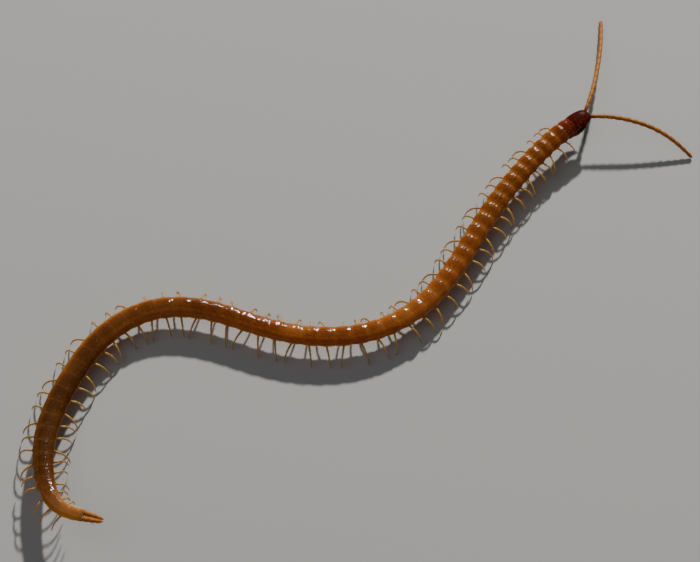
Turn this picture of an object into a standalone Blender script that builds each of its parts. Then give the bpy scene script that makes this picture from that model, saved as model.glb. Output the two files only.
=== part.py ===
"""Yellow earth centipede, a still model at life size, resting on its feet on the floor.

The body follows one smooth curve from the front of the head to the end of the tail.
It is made as a head, nine lengths of leg-bearing segments with their walking legs, and a last
segment, with a pair of poison claws, a pair of antennae and the long last pair of legs. Work is
in millimetres, and each finished mesh is brought to metres. +Z is up and the floor is at z = 0.
"""

import math
import random

import bmesh
import bpy
import numpy as np
from mathutils import Matrix, Vector

METRES_PER_MM = 0.001
# Clear space kept between neighbouring pieces
GAP = 0.25
# Edges of a finished mesh that turn by more than this stay sharp
SHARP_EDGE_DEGREES = 50.0

# Middle line of the body, from the front of the head to the end of the tail
BODY_LINE = [
    (11.46, 9.36, 1.49), (9.97, 8.15, 1.42), (8.12, 6.05, 1.30), (6.37, 3.45, 1.16),
    (4.82, 0.55, 1.07), (3.07, -2.0, 1.05), (0.67, -3.65, 1.05), (-2.18, -4.15, 1.05),
    (-5.03, -3.7, 1.05), (-7.78, -2.85, 1.05), (-10.53, -2.85, 1.05), (-12.93, -4.35, 1.05),
    (-14.53, -6.9, 1.08), (-15.48, -9.9, 1.30), (-15.33, -13.0, 1.80),
    (-14.53, -14.55, 2.10), (-13.33, -15.05, 2.20), (-12.53, -15.1, 2.20),
]
# Middle lines of the antennae beyond their sockets, to the tips on the floor
ANTENNA_LEFT_LINE = [
    (11.58, 10.45, 1.56), (11.87, 11.75, 1.26), (12.13, 13.40, 0.80),
    (12.29, 15.30, 0.32), (12.31, 16.30, 0.09),
]
ANTENNA_RIGHT_LINE = [
    (12.40, 9.20, 1.60), (13.60, 9.10, 1.48), (14.86, 8.84, 1.18),
    (16.12, 8.32, 0.64), (17.00, 7.76, 0.09),
]

# The head and the segment behind it, which carries the poison claws
HEAD_LENGTH = 1.25
HEAD_WIDTH = 0.98
HEAD_HEIGHT = 0.46
HEAD_RISE = 0.12
HEAD_SIDES = 14
# Distance from the front, relative width and relative height
HEAD_PROFILE = [
    (1.02, 0.98, 1.0), (0.70, 1.0, 1.0), (0.38, 0.97, 0.97), (0.17, 0.87, 0.86),
    (0.05, 0.70, 0.66), (0.0, 0.48, 0.40),
]
HEAD_BACK_WIDTH = 0.86
HEAD_BACK_HEIGHT = 0.90
CLAW_SEGMENT_LENGTH = 0.45
CLAW_SEGMENT_TOP = 0.33
CLAW_SEGMENT_BOTTOM = -0.62
# Distance behind the front face, and how far the deeper shape is kept there
CLAW_SEGMENT_PROFILE = [(0.0, 1.0), (0.14, 1.0), (0.275, 0.6)]

# The trunk
WALKING_SEGMENTS = 54
FIRST_LENGTH_SEGMENTS = 8
SEGMENTS_PER_LENGTH = 6
# Distance from the last segment's rear edge to the end of the body line
TAIL_END_LENGTH = 1.0
# Relative segment length against place in the row, 0 at the head and 1 at the tail
SEGMENT_LENGTHS = [
    (0.0, 0.70), (0.10, 0.77), (0.18, 0.86), (0.28, 0.94), (0.45, 0.99), (0.79, 1.0),
    (0.88, 0.90), (1.0, 0.56),
]
# Trunk width against distance along the body
TRUNK_WIDTHS = [
    (1.2, 1.02), (1.7, 1.07), (4.0, 1.08), (9.0, 1.08), (22.0, 1.06), (31.0, 1.16), (37.0, 1.16),
    (41.0, 0.98), (43.0, 0.78), (44.4, 0.66),
]
TRUNK_HEIGHT_RATIO = 0.76
TRUNK_SIDES = 12
BELLY_FLATNESS = 0.86
PLATE_RISE = 0.05
# Share of a segment's length, and how far the plates are raised there
SEGMENT_PROFILE = [(0.2, 1.0), (0.55, 1.15), (0.84, 1.0)]
# Length over which the end of a length of trunk is rounded off
END_ROUNDING = 0.06
# Distance behind the last segment's rear edge, and relative size there
TAIL_END_PROFILE = [(0.05, 0.82)]
TAIL_END_RISE = 0.5
LAST_SEGMENT_ROUNDING = 0.08

# Walking legs
LEG_REACH = 0.74
LEG_DROP = 0.93
LEG_THICKNESS = 0.48
LEG_SHARE_OF_SEGMENT = 0.62
LEG_FOOT_RADIUS = 0.09
LEG_SIDES = 6
# Places of a leg's root inside the trunk and of its flank, against half the trunk's size
LEG_ROOT_OUT = 0.42
LEG_ROOT_DOWN = 0.22
LEG_FLANK_OUT = 0.92
LEG_FLANK_DOWN = 0.30
# The knee, which draws the leg into an arch: share of the reach, of the swing, and its lift
KNEE_OUT = 0.72
KNEE_SWEEP = 0.55
KNEE_LIFT = 0.06
# Two places on the arch, as shares of it, and the reach over which its heading is taken
ARCH_PLACES = (0.42, 0.76)
ARCH_REACH = 0.12
# Relative thickness at the root, the flank, and the two places on the arch
LEG_TAPER = (0.72, 1.0, 0.84, 0.56)
# Forward swing of three legs in turn, in degrees: they step in waves that run along the body
LEFT_SWINGS = (-24.0, -2.0, 10.0)
RIGHT_SWINGS = (14.0, 14.0, -16.0)
SWING_VARIATION = 3.0
REACH_VARIATION = 0.05
VARIATION_SEED = 29
# On the inner side of a tight bend a leg swings less and reaches less far
CROWDED_BEND_RADIUS = 3.2
CROWDING_START = 0.4
CROWDED_REACH_LOSS = 0.30
# Relative leg size against place along the body
LEG_SIZES = [(0.0, 0.72), (0.12, 0.95), (0.2, 1.0), (0.85, 1.0), (1.0, 0.78)]

# Poison claws
CLAW_THICKNESS = 0.36
CLAW_SIDES = 8
CLAW_FLATNESS = 0.94
# Distance from the front, sideways place, drop below the body line and relative thickness
CLAW_PATH = [
    (0.90, 0.31, 0.46, 1.0), (0.66, 0.33, 0.46, 0.92), (0.46, 0.31, 0.45, 0.74),
    (0.29, 0.25, 0.44, 0.50), (0.17, 0.18, 0.43, 0.30),
]
CLAW_BACK_SIDE = 0.27

# Antennae, each in a short socket on the front of the head
ANTENNA_BASE_BACK = 0.30
ANTENNA_BASE_SIDE = 0.17
SOCKET_LENGTH = 0.38
SOCKET_THICKNESS = 0.42
# Share of the socket's length, and relative thickness there
SOCKET_PROFILE = [(0.0, 0.8), (0.6, 1.0), (1.0, 1.0)]
ARTICLES = 14
ANTENNA_THICKNESS = 0.46
ANTENNA_TIP_THICKNESS = 0.26
ANTENNA_SIDES = 8
JOINT_PINCH = 0.86
# Distance before the tip, counted in articles, and relative thickness there
ANTENNA_END_PROFILE = [(0.2, 0.92), (0.0, 0.5)]
TAPER_POWER = 1.5

# The last pair of legs
LAST_LEG_LENGTH = 1.0
LAST_LEG_THICKNESS = 0.44
LAST_LEG_TIP_THICKNESS = 0.18
LAST_LEG_SINK = 0.10
LAST_LEG_SIDES = 8
# Share of the leg's length, and distance from the middle line there
LAST_LEG_PATH = [(0.0, 0.35), (0.25, 0.35), (0.6, 0.29), (1.0, 0.22)]

# Colour, metallic value and roughness of each surface
SURFACES = {
    "head_shield": ((0.085, 0.010, 0.002), 0.0, 0.22),
    "amber_cuticle": ((0.340, 0.100, 0.008), 0.0, 0.25),
    "antenna_cuticle": ((0.360, 0.130, 0.012), 0.0, 0.35),
    "claw_cuticle": ((0.120, 0.018, 0.003), 0.0, 0.25),
    "leg_cuticle": ((0.450, 0.220, 0.035), 0.0, 0.35),
}


class SmoothLine:
    """A natural cubic spline through points, read by distance along it."""

    def __init__(self, points, samples=2400):
        knots = np.array(points, float)
        spans = np.linalg.norm(np.diff(knots, axis=0), axis=1)
        stations = np.concatenate([[0.0], np.cumsum(spans)])
        count = len(knots)
        matrix = np.eye(count)
        slopes = np.zeros_like(knots)
        for i in range(1, count - 1):
            matrix[i, i - 1] = spans[i - 1]
            matrix[i, i] = 2.0 * (spans[i - 1] + spans[i])
            matrix[i, i + 1] = spans[i]
            ahead = (knots[i + 1] - knots[i]) / spans[i]
            behind = (knots[i] - knots[i - 1]) / spans[i - 1]
            slopes[i] = 6.0 * (ahead - behind)
        bends = np.linalg.solve(matrix, slopes)
        at = np.linspace(0.0, stations[-1], samples)
        span = np.clip(np.searchsorted(stations, at, side="right") - 1, 0, count - 2)
        size = spans[span][:, None]
        after = (stations[span + 1] - at)[:, None]
        before = (at - stations[span])[:, None]
        self.points = (
            bends[span] * after**3 / (6.0 * size)
            + bends[span + 1] * before**3 / (6.0 * size)
            + (knots[span] / size - bends[span] * size / 6.0) * after
            + (knots[span + 1] / size - bends[span + 1] * size / 6.0) * before
        )
        steps = np.linalg.norm(np.diff(self.points, axis=0), axis=1)
        self.distance = np.concatenate([[0.0], np.cumsum(steps)])
        self.length = float(self.distance[-1])

    def point(self, along):
        return np.array([np.interp(along, self.distance, self.points[:, k]) for k in range(3)])

    def direction(self, along, reach=0.05):
        start = max(0.0, along - reach)
        end = min(self.length, along + reach)
        step = self.point(end) - self.point(start)
        return step / np.linalg.norm(step)


def bend_to_left(line, along, reach=0.8):
    """Curvature of the body line from above, positive where it bends round the left side."""
    before = line.direction(max(reach, along - reach))
    after = line.direction(min(line.length - reach, along + reach))
    turn = math.atan2(before[1] * after[0] - before[0] * after[1], float(before[:2] @ after[:2]))
    return turn / (2.0 * reach)


def unit(vector):
    return vector / np.linalg.norm(vector)


def body_frame(line, along):
    """Place on the body with its forward, left and upward directions."""
    forward = -line.direction(along)
    up = np.array([0.0, 0.0, 1.0])
    upward = unit(up - forward * float(up @ forward))
    return line.point(along), forward, np.cross(upward, forward), upward


def read_curve(stations, at):
    return float(np.interp(at, [s[0] for s in stations], [s[1] for s in stations]))


def ring(centre, across, upward, half_width, half_height, sides):
    """Points of an ellipse about a centre, in the plane of two directions."""
    angles = np.arange(sides) * (2.0 * math.pi / sides)
    return (
        centre
        + np.outer(np.cos(angles) * half_width, across)
        + np.outer(np.sin(angles) * half_height, upward)
    )


def loft(name, rings):
    """A closed mesh object through rings of equal point count, with flat ends."""
    shape = bmesh.new()
    rows = [[shape.verts.new(point) for point in points] for points in rings]
    count = len(rows[0])
    for near, far in zip(rows[:-1], rows[1:]):
        for i in range(count):
            j = (i + 1) % count
            shape.faces.new((near[i], near[j], far[j], far[i]))
    shape.faces.new(rows[0][::-1])
    shape.faces.new(rows[-1])
    bmesh.ops.recalc_face_normals(shape, faces=shape.faces)
    mesh = bpy.data.meshes.new(name)
    shape.to_mesh(mesh)
    shape.free()
    piece = bpy.data.objects.new(name, mesh)
    bpy.context.scene.collection.objects.link(piece)
    return piece


def evaluate(piece):
    """Apply the modifiers of a piece to its mesh."""
    depsgraph = bpy.context.evaluated_depsgraph_get()
    mesh = bpy.data.meshes.new_from_object(piece.evaluated_get(depsgraph))
    piece.modifiers.clear()
    piece.data = mesh


def keep_largest_surface(piece):
    """Delete all but the connected surface with the most faces."""
    shape = bmesh.new()
    shape.from_mesh(piece.data)
    waiting = set(shape.faces)
    surfaces = []
    while waiting:
        found = [waiting.pop()]
        for face in found:
            for edge in face.edges:
                for other in edge.link_faces:
                    if other in waiting:
                        waiting.remove(other)
                        found.append(other)
        surfaces.append(found)
    surfaces.sort(key=len)
    loose = [face for surface in surfaces[:-1] for face in surface]
    bmesh.ops.delete(shape, geom=loose, context="FACES")
    shape.to_mesh(piece.data)
    shape.free()


def fuse(body, pieces):
    """Join pieces to a body, so that they are one closed solid."""
    group = bpy.data.collections.new(body.name + "_pieces")
    for piece in pieces:
        group.objects.link(piece)
    union = body.modifiers.new("Join", "BOOLEAN")
    union.operation = "UNION"
    union.operand_type = "COLLECTION"
    union.collection = group
    union.solver = "EXACT"
    evaluate(body)
    for piece in pieces:
        bpy.data.objects.remove(piece)
    bpy.data.collections.remove(group)
    keep_largest_surface(body)


def surface_material(slot):
    material = bpy.data.materials.get(slot)
    if material is None:
        colour, metallic, roughness = SURFACES[slot]
        material = bpy.data.materials.new(slot)
        material.use_nodes = True
        shader = material.node_tree.nodes["Principled BSDF"]
        shader.inputs["Base Color"].default_value = (*colour, 1.0)
        shader.inputs["Metallic"].default_value = metallic
        shader.inputs["Roughness"].default_value = roughness
    return material


def finish(piece, slot, origin, model):
    """Bring a piece to metres, give it its own origin, material and parent."""
    mesh = piece.data
    mesh.transform(Matrix.Translation(Vector(-np.array(origin))))
    mesh.transform(Matrix.Scale(METRES_PER_MM, 4))
    mesh.materials.clear()
    mesh.materials.append(surface_material(slot))
    mesh.shade_smooth()
    mesh.set_sharp_from_angle(angle=math.radians(SHARP_EDGE_DEGREES))
    piece.location = Vector(np.array(origin)) * METRES_PER_MM
    piece.parent = model


def segment_borders(line):
    """Distances along the body of the borders between leg-bearing segments."""
    start = HEAD_LENGTH + CLAW_SEGMENT_LENGTH
    end = line.length - TAIL_END_LENGTH
    count = WALKING_SEGMENTS + 1
    weights = [read_curve(SEGMENT_LENGTHS, (i + 0.5) / count) for i in range(count)]
    shares = np.concatenate([[0.0], np.cumsum(weights)]) / sum(weights)
    return start + shares * (end - start)


def trunk_ring(line, along, rise):
    """Cross-section of the trunk: rounded back, flatter belly, raised by the plates."""
    centre, _, left, upward = body_frame(line, along)
    half_width = 0.5 * read_curve(TRUNK_WIDTHS, along)
    half_height = half_width * TRUNK_HEIGHT_RATIO
    spread = half_width - PLATE_RISE * (1.0 - rise)
    top = half_height - PLATE_RISE * (1.0 - rise)
    angles = (np.arange(TRUNK_SIDES) + 0.5) * (2.0 * math.pi / TRUNK_SIDES)
    tall = np.where(np.sin(angles) > 0.0, top, top * BELLY_FLATNESS)
    across = np.cos(angles) * spread / math.cos(math.pi / TRUNK_SIDES)
    return centre + np.outer(across, left) + np.outer(np.sin(angles) * tall, upward)


def claw_segment_ring(line, along, share):
    """Cross-section of the segment that carries the claws, which is deeper below."""
    points = trunk_ring(line, along, 1.0)
    centre, _, _, upward = body_frame(line, along)
    height = (points - centre) @ upward
    top = CLAW_SEGMENT_TOP / height.max()
    bottom = CLAW_SEGMENT_BOTTOM / height.min()
    wanted = np.where(height > 0.0, top, bottom)
    scale = 1.0 + (wanted - 1.0) * share
    return points + np.outer(height * (scale - 1.0), upward)


def segment_rings(line, start, end, first, last):
    """Rings of one segment between its borders, with a groove at each border."""
    near = start + (0.5 * GAP if first else 0.0)
    places = [start + share * (end - start) for share, _ in SEGMENT_PROFILE]
    if first:
        places[0] = near + END_ROUNDING
    if last:
        places[-1] = end - 0.5 * GAP - END_ROUNDING
    rings = [trunk_ring(line, near, 0.0)]
    for at, (_, rise) in zip(places, SEGMENT_PROFILE):
        rings.append(trunk_ring(line, at, rise))
    if last:
        rings.append(trunk_ring(line, end - 0.5 * GAP, 0.0))
    return rings


def leg_variations():
    """A swing and a reach factor for each walking leg, left then right."""
    draw = random.Random(VARIATION_SEED)
    variations = []
    for index in range(WALKING_SEGMENTS):
        for swings in (LEFT_SWINGS, RIGHT_SWINGS):
            swing = swings[index % len(swings)] + draw.uniform(-SWING_VARIATION, SWING_VARIATION)
            reach = 1.0 + draw.uniform(-REACH_VARIATION, REACH_VARIATION)
            variations.append((math.radians(swing), reach))
    return variations


def leg_places(line, along, side, swing, reach_factor):
    """Root inside the trunk, flank, knee and foot of a leg, and its size against the largest."""
    centre, forward, left, upward = body_frame(line, along)
    half_width = 0.5 * read_curve(TRUNK_WIDTHS, along)
    half_height = half_width * TRUNK_HEIGHT_RATIO
    out = left * side
    root = centre + out * LEG_ROOT_OUT * half_width - upward * LEG_ROOT_DOWN * half_height
    flank = centre + out * LEG_FLANK_OUT * half_width - upward * LEG_FLANK_DOWN * half_height
    size = read_curve(LEG_SIZES, along / line.length)
    tightness = side * bend_to_left(line, along) * CROWDED_BEND_RADIUS
    crowding = min(1.0, max(0.0, tightness - CROWDING_START))
    swing *= 1.0 - crowding
    reach = LEG_REACH * size * reach_factor * (1.0 - CROWDED_REACH_LOSS * crowding)
    level = np.array([1.0, 1.0, 0.0])
    level_out = unit(out * level)
    sweep = unit(forward * level) * reach * math.tan(swing)
    foot = flank + level_out * reach + sweep
    foot[2] = max(0.0, flank[2] - LEG_DROP * size)
    knee = flank + level_out * KNEE_OUT * reach + sweep * KNEE_SWEEP
    knee[2] = flank[2] + KNEE_LIFT
    return root, flank, knee, foot, size


def make_leg(line, along, pitch, side, swing, reach_factor):
    """A walking leg, arched out from the flank and down to a small flat foot."""
    root, flank, knee, foot, size = leg_places(line, along, side, swing, reach_factor)
    _, forward, _, _ = body_frame(line, along)

    def arch(share):
        return (
            flank * (1.0 - share) ** 2
            + knee * 2.0 * share * (1.0 - share)
            + foot * share**2
        )

    tall = 0.5 * LEG_THICKNESS * size
    wide = 0.5 * min(LEG_THICKNESS * size, LEG_SHARE_OF_SEGMENT * pitch)
    # Place on the leg and heading there
    stations = [(root, flank - root), (flank, knee - root)]
    for share in ARCH_PLACES:
        stations.append((arch(share), arch(share + ARCH_REACH) - arch(share - ARCH_REACH)))
    rings = []
    for (place, heading), thick in zip(stations, LEG_TAPER):
        heading = unit(heading)
        along_body = unit(forward - heading * float(forward @ heading))
        downward = np.cross(heading, along_body)
        rings.append(ring(place, along_body, downward, wide * thick, tall * thick, LEG_SIDES))
    level_forward = unit(forward * np.array([1.0, 1.0, 0.0]))
    level_side = np.cross(np.array([0.0, 0.0, -1.0]), level_forward)
    foot_radius = LEG_FOOT_RADIUS * size
    rings.append(ring(foot, level_forward, level_side, foot_radius, foot_radius, LEG_SIDES))
    return loft("leg", rings)


def length_starts():
    """Number of the first segment of each length of trunk, and the number after the last."""
    inner = range(FIRST_LENGTH_SEGMENTS, WALKING_SEGMENTS, SEGMENTS_PER_LENGTH)
    return [0, *inner, WALKING_SEGMENTS]


def make_trunk_length(line, borders, variations, number, first, after):
    """One length of trunk: its segments, each with a pair of legs."""
    start = borders[first]
    rings = []
    if first == 0:
        front = HEAD_LENGTH + 0.5 * GAP
        for behind, share in CLAW_SEGMENT_PROFILE:
            rings.append(claw_segment_ring(line, front + behind, share))
    legs = []
    for index in range(first, after):
        is_front = first > 0 and index == first
        near = borders[index]
        far = borders[index + 1]
        rings += segment_rings(line, near, far, is_front, index == after - 1)
        for place, side in enumerate((1, -1)):
            swing, reach_factor = variations[2 * index + place]
            middle = 0.5 * (near + far)
            legs.append(make_leg(line, middle, far - near, side, swing, reach_factor))
    trunk = loft("trunk_%d" % number, rings)
    fuse(trunk, legs)
    return trunk, line.point(0.5 * (start + borders[after]))


def head_rings(line):
    """Rings of the head shield from its back edge to its rounded front."""
    back = (HEAD_LENGTH - 0.5 * GAP, HEAD_BACK_WIDTH, HEAD_BACK_HEIGHT)
    rings = []
    for along, width, height in [back, *HEAD_PROFILE]:
        centre, _, left, upward = body_frame(line, along)
        centre = centre + upward * HEAD_RISE
        half_width = 0.5 * HEAD_WIDTH * width
        rings.append(ring(centre, left, upward, half_width, 0.5 * HEAD_HEIGHT * height, HEAD_SIDES))
    return rings


def make_claw(line, side):
    """A poison claw under the head, bowed outward and hooked in to its tip."""
    _, _, back_drop, back_thickness = CLAW_PATH[0]
    back = (HEAD_LENGTH - 0.5 * GAP, CLAW_BACK_SIDE, back_drop, back_thickness)
    stations = [back, *CLAW_PATH]
    places = []
    for along, sideways, drop, _ in stations:
        centre, _, left, upward = body_frame(line, along)
        places.append(centre + left * side * sideways - upward * drop)
    rings = []
    for i, (along, _, _, thick) in enumerate(stations):
        before = places[max(0, i - 1)]
        after = places[min(len(places) - 1, i + 1)]
        heading = unit(after - before)
        _, forward, _, upward = body_frame(line, along)
        if i == 0:
            heading = forward
        across = unit(np.cross(upward, heading))
        half = 0.5 * CLAW_THICKNESS * thick
        rings.append(ring(places[i], across, upward, half * CLAW_FLATNESS, half, CLAW_SIDES))
    return loft("claw", rings)


def antenna_line(body_line, points, side):
    """Middle line of an antenna from its base inside the head to its tip."""
    front, forward, left, upward = body_frame(body_line, 0.0)
    base = front - forward * ANTENNA_BASE_BACK + left * side * ANTENNA_BASE_SIDE
    return SmoothLine([tuple(base + upward * HEAD_RISE), *points], 800)


def round_ring(line, along, thickness, sides):
    """A round cross-section of a line, pressed flat where it meets the floor."""
    heading = line.direction(along)
    across = unit(np.cross(heading, np.array([0.0, 0.0, 1.0])))
    upward = np.cross(across, heading)
    half = 0.5 * thickness
    points = ring(line.point(along), across, upward, half, half, sides)
    points[:, 2] = np.maximum(points[:, 2], 0.0)
    return points


def make_socket(line):
    """A short socket that stands out of the head round the start of an antenna."""
    rings = [
        round_ring(line, share * SOCKET_LENGTH, SOCKET_THICKNESS * scale, ANTENNA_SIDES)
        for share, scale in SOCKET_PROFILE
    ]
    return loft("socket", rings)


def make_antenna(name, line):
    """A beaded antenna, facing its socket at one end and resting on the floor at the other."""
    start = SOCKET_LENGTH + GAP
    size = (line.length - start) / ARTICLES
    stations = []
    for article in range(ARTICLES):
        stations += [(article, JOINT_PINCH), (article + 0.5, 1.0)]
    stations += [(ARTICLES - before, scale) for before, scale in ANTENNA_END_PROFILE]
    rings = []
    for place, pinch in stations:
        taper = (place / ARTICLES) ** TAPER_POWER
        thick = ANTENNA_THICKNESS + (ANTENNA_TIP_THICKNESS - ANTENNA_THICKNESS) * taper
        rings.append(round_ring(line, start + place * size, thick * pinch, ANTENNA_SIDES))
    return loft(name, rings)


def last_segment_rings(line, borders):
    """Rings of the last leg-bearing segment and the small rounded end behind it."""
    start = borders[WALKING_SEGMENTS] + 0.5 * GAP
    end = borders[WALKING_SEGMENTS + 1]
    rings = [
        trunk_ring(line, start, 0.0),
        trunk_ring(line, start + LAST_SEGMENT_ROUNDING, 1.0),
        trunk_ring(line, end - LAST_SEGMENT_ROUNDING, 1.0),
        trunk_ring(line, end, 0.0),
    ]
    for behind, scale in TAIL_END_PROFILE:
        centre = line.point(end + behind)
        points = trunk_ring(line, end + behind, TAIL_END_RISE)
        rings.append(centre + (points - centre) * scale)
    return rings


def make_last_leg(name, line, borders, side):
    """One of the last pair of legs, trailing behind the last segment close to the other."""
    centre, forward, left, upward = body_frame(line, borders[WALKING_SEGMENTS + 1])
    start = TAIL_END_PROFILE[-1][0] + GAP
    places = []
    for share, sideways in LAST_LEG_PATH:
        behind = start + LAST_LEG_LENGTH * share
        place = centre - forward * behind + left * side * sideways
        places.append(place - upward * LAST_LEG_SINK * share)
    rings = []
    for i, (share, _) in enumerate(LAST_LEG_PATH):
        heading = unit(places[min(len(places) - 1, i + 1)] - places[max(0, i - 1)])
        across = unit(np.cross(upward, heading))
        thick = LAST_LEG_THICKNESS + (LAST_LEG_TIP_THICKNESS - LAST_LEG_THICKNESS) * share
        rings.append(ring(places[i], across, upward, 0.5 * thick, 0.5 * thick, LAST_LEG_SIDES))
    return loft(name, rings), places[0]


def clear_scene():
    for item in list(bpy.data.objects):
        bpy.data.objects.remove(item)


def build():
    clear_scene()
    line = SmoothLine(BODY_LINE)
    borders = segment_borders(line)
    model = bpy.data.objects.new("centipede", None)
    bpy.context.scene.collection.objects.link(model)

    head = loft("head", head_rings(line))
    sockets = []
    for name, points, side in (
        ("antenna_left", ANTENNA_LEFT_LINE, 1), ("antenna_right", ANTENNA_RIGHT_LINE, -1),
    ):
        feeler_line = antenna_line(line, points, side)
        sockets.append(make_socket(feeler_line))
        antenna = make_antenna(name, feeler_line)
        finish(antenna, "antenna_cuticle", feeler_line.point(SOCKET_LENGTH), model)
    fuse(head, sockets)
    finish(head, "head_shield", line.point(HEAD_LENGTH), model)

    for name, side in (("forcipule_left", 1), ("forcipule_right", -1)):
        claw = make_claw(line, side)
        claw.name = name
        finish(claw, "claw_cuticle", line.point(HEAD_LENGTH), model)

    variations = leg_variations()
    starts = length_starts()
    for number, (first, after) in enumerate(zip(starts[:-1], starts[1:]), start=1):
        trunk, origin = make_trunk_length(line, borders, variations, number, first, after)
        finish(trunk, "amber_cuticle", origin, model)

    last = loft("last_segment", last_segment_rings(line, borders))
    finish(last, "amber_cuticle", line.point(borders[WALKING_SEGMENTS]), model)
    for name, side in (("last_leg_left", 1), ("last_leg_right", -1)):
        leg, origin = make_last_leg(name, line, borders, side)
        finish(leg, "leg_cuticle", origin, model)


build()
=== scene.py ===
"""Yellow earth centipede: skin, plates, claws, feelers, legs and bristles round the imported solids.

Shapes are worked out in millimetres along the body line and brought to metres in add_piece.
"""

import math

import bpy
import numpy as np
from mathutils import Matrix


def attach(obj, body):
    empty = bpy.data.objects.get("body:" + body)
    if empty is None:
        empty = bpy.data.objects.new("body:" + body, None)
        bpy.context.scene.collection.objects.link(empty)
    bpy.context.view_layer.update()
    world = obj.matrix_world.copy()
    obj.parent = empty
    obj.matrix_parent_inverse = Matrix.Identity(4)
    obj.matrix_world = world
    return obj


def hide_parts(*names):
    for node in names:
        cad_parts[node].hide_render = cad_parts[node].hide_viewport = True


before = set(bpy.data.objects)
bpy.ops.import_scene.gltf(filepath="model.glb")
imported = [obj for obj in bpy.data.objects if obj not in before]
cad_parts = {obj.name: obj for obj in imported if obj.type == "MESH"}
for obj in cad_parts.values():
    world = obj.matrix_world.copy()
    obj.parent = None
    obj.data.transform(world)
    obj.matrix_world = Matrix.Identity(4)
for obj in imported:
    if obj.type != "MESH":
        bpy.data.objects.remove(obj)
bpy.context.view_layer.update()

bl_info = {
    "name": "Yellow earth centipede",
    "version": (1, 0, 0),
    "blender": (4, 5, 0),
    "location": "3D View > Sidebar > Centipede",
    "description": "Skin, head, claws, feelers, legs and bristles of a life-size centipede",
    "category": "Add Mesh",
}

METRES_PER_MM = 0.001

# Middle line of the body in millimetres, from the front of the head to the end of the tail
BODY_LINE = [
    (11.46, 9.36, 1.49), (9.97, 8.15, 1.42), (8.12, 6.05, 1.30), (6.37, 3.45, 1.16),
    (4.82, 0.55, 1.07), (3.07, -2.0, 1.05), (0.67, -3.65, 1.05), (-2.18, -4.15, 1.05),
    (-5.03, -3.7, 1.05), (-7.78, -2.85, 1.05), (-10.53, -2.85, 1.05), (-12.93, -4.35, 1.05),
    (-14.53, -6.9, 1.08), (-15.48, -9.9, 1.30), (-15.33, -13.0, 1.80),
    (-14.53, -14.55, 2.10), (-13.33, -15.05, 2.20), (-12.53, -15.1, 2.20),
]
# Middle lines of the feelers, from the front of the head to the tips on the floor
ANTENNA_LINES = {
    1: [
        (11.58, 10.45, 1.56), (11.87, 11.75, 1.26), (12.13, 13.40, 0.80),
        (12.29, 15.30, 0.32), (12.31, 16.30, 0.09),
    ],
    -1: [
        (12.40, 9.20, 1.60), (13.60, 9.10, 1.48), (14.86, 8.84, 1.18),
        (16.12, 8.32, 0.64), (17.00, 7.76, 0.09),
    ],
}
SIDES = (1, -1)
SIDE_NAMES = {1: "left", -1: "right"}

# The head and the segment that carries the poison claws
HEAD_LENGTH = 1.25
HEAD_SHIELD_LENGTH = 1.24
HEAD_RISE = 0.12
HEAD_COLUMNS = 72
HEAD_ROWS = 90
# Power of the sine in the head's section: 1 is an ellipse, and less is fuller
HEAD_FULLNESS = 0.86
HEAD_FURROW_DEPTH = 0.008
HEAD_SEAM_DEPTH = 0.012
# Distance from the front, and half the head's width, height above and depth below its line
HEAD_HALF_WIDTHS = [
    (0.0, 0.015), (0.010, 0.16), (0.035, 0.24), (0.09, 0.31), (0.19, 0.375), (0.38, 0.44),
    (0.66, 0.475), (0.92, 0.485), (1.10, 0.475), (1.19, 0.445), (1.225, 0.40), (1.24, 0.32),
]
HEAD_TOPS = [
    (0.0, 0.01), (0.02, 0.075), (0.08, 0.125), (0.25, 0.175), (0.55, 0.215), (0.90, 0.222),
    (1.12, 0.205), (1.20, 0.18), (1.23, 0.13), (1.24, 0.05),
]
HEAD_DEPTHS = [
    (0.0, 0.01), (0.03, 0.07), (0.15, 0.13), (0.45, 0.185), (0.95, 0.20), (1.16, 0.17), (1.24, 0.05),
]
CLAW_SEGMENT_LENGTH = 0.45
# Distance along the body, and depth of the trunk below its line as a share of its half height
BELLY_DEPTHS = [
    (1.02, 0.70), (1.22, 1.25), (1.35, 1.55), (1.50, 1.50), (1.68, 1.10), (1.9, 0.90), (2.3, 0.86),
]
# The neck: its rows of points start inside the head and end at the first border
NECK_ROWS = 8
NECK_START = HEAD_LENGTH - 0.21
FIRST_BORDER = HEAD_LENGTH + 0.02

# The trunk
WALKING_SEGMENTS = 54
TAIL_END_LENGTH = 1.0
TELSON_LENGTH = 0.26
# Relative segment length against place in the row, 0 at the head and 1 at the tail
SEGMENT_LENGTHS = [
    (0.0, 0.70), (0.10, 0.77), (0.18, 0.86), (0.28, 0.94), (0.45, 0.99), (0.79, 1.0),
    (0.88, 0.90), (1.0, 0.56),
]
# Distance along the body and trunk width
TRUNK_WIDTHS = [
    (1.02, 0.80), (1.25, 1.00), (1.7, 1.07), (4.0, 1.08), (9.0, 1.08), (22.0, 1.06), (31.0, 1.16),
    (37.0, 1.16), (41.0, 0.98), (43.0, 0.78), (44.4, 0.66),
]
TRUNK_HEIGHT_RATIO = 0.76
SKIN_INSET = 0.022
# How strongly the segments bulge, against distance along the body
SEGMENT_RELIEF = [
    (1.0, 0.6), (3.0, 0.85), (11.0, 0.80), (16.0, 0.45), (24.0, 0.34), (31.0, 0.20), (36.0, 0.10),
    (41.0, 0.10), (44.0, 0.25),
]
TRUNK_COLUMNS = 88
# Power of sine and cosine in the trunk's section: 1 is an ellipse, and less is squarer
SQUARENESS = 0.84
# Places of the rows of points within a segment, closest together at its grooves
SEGMENT_ROWS = [
    0.0, 0.025, 0.055, 0.09, 0.13, 0.165, 0.19, 0.215, 0.25, 0.32, 0.42, 0.53, 0.64, 0.74,
    0.83, 0.90, 0.945, 0.975,
]
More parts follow.
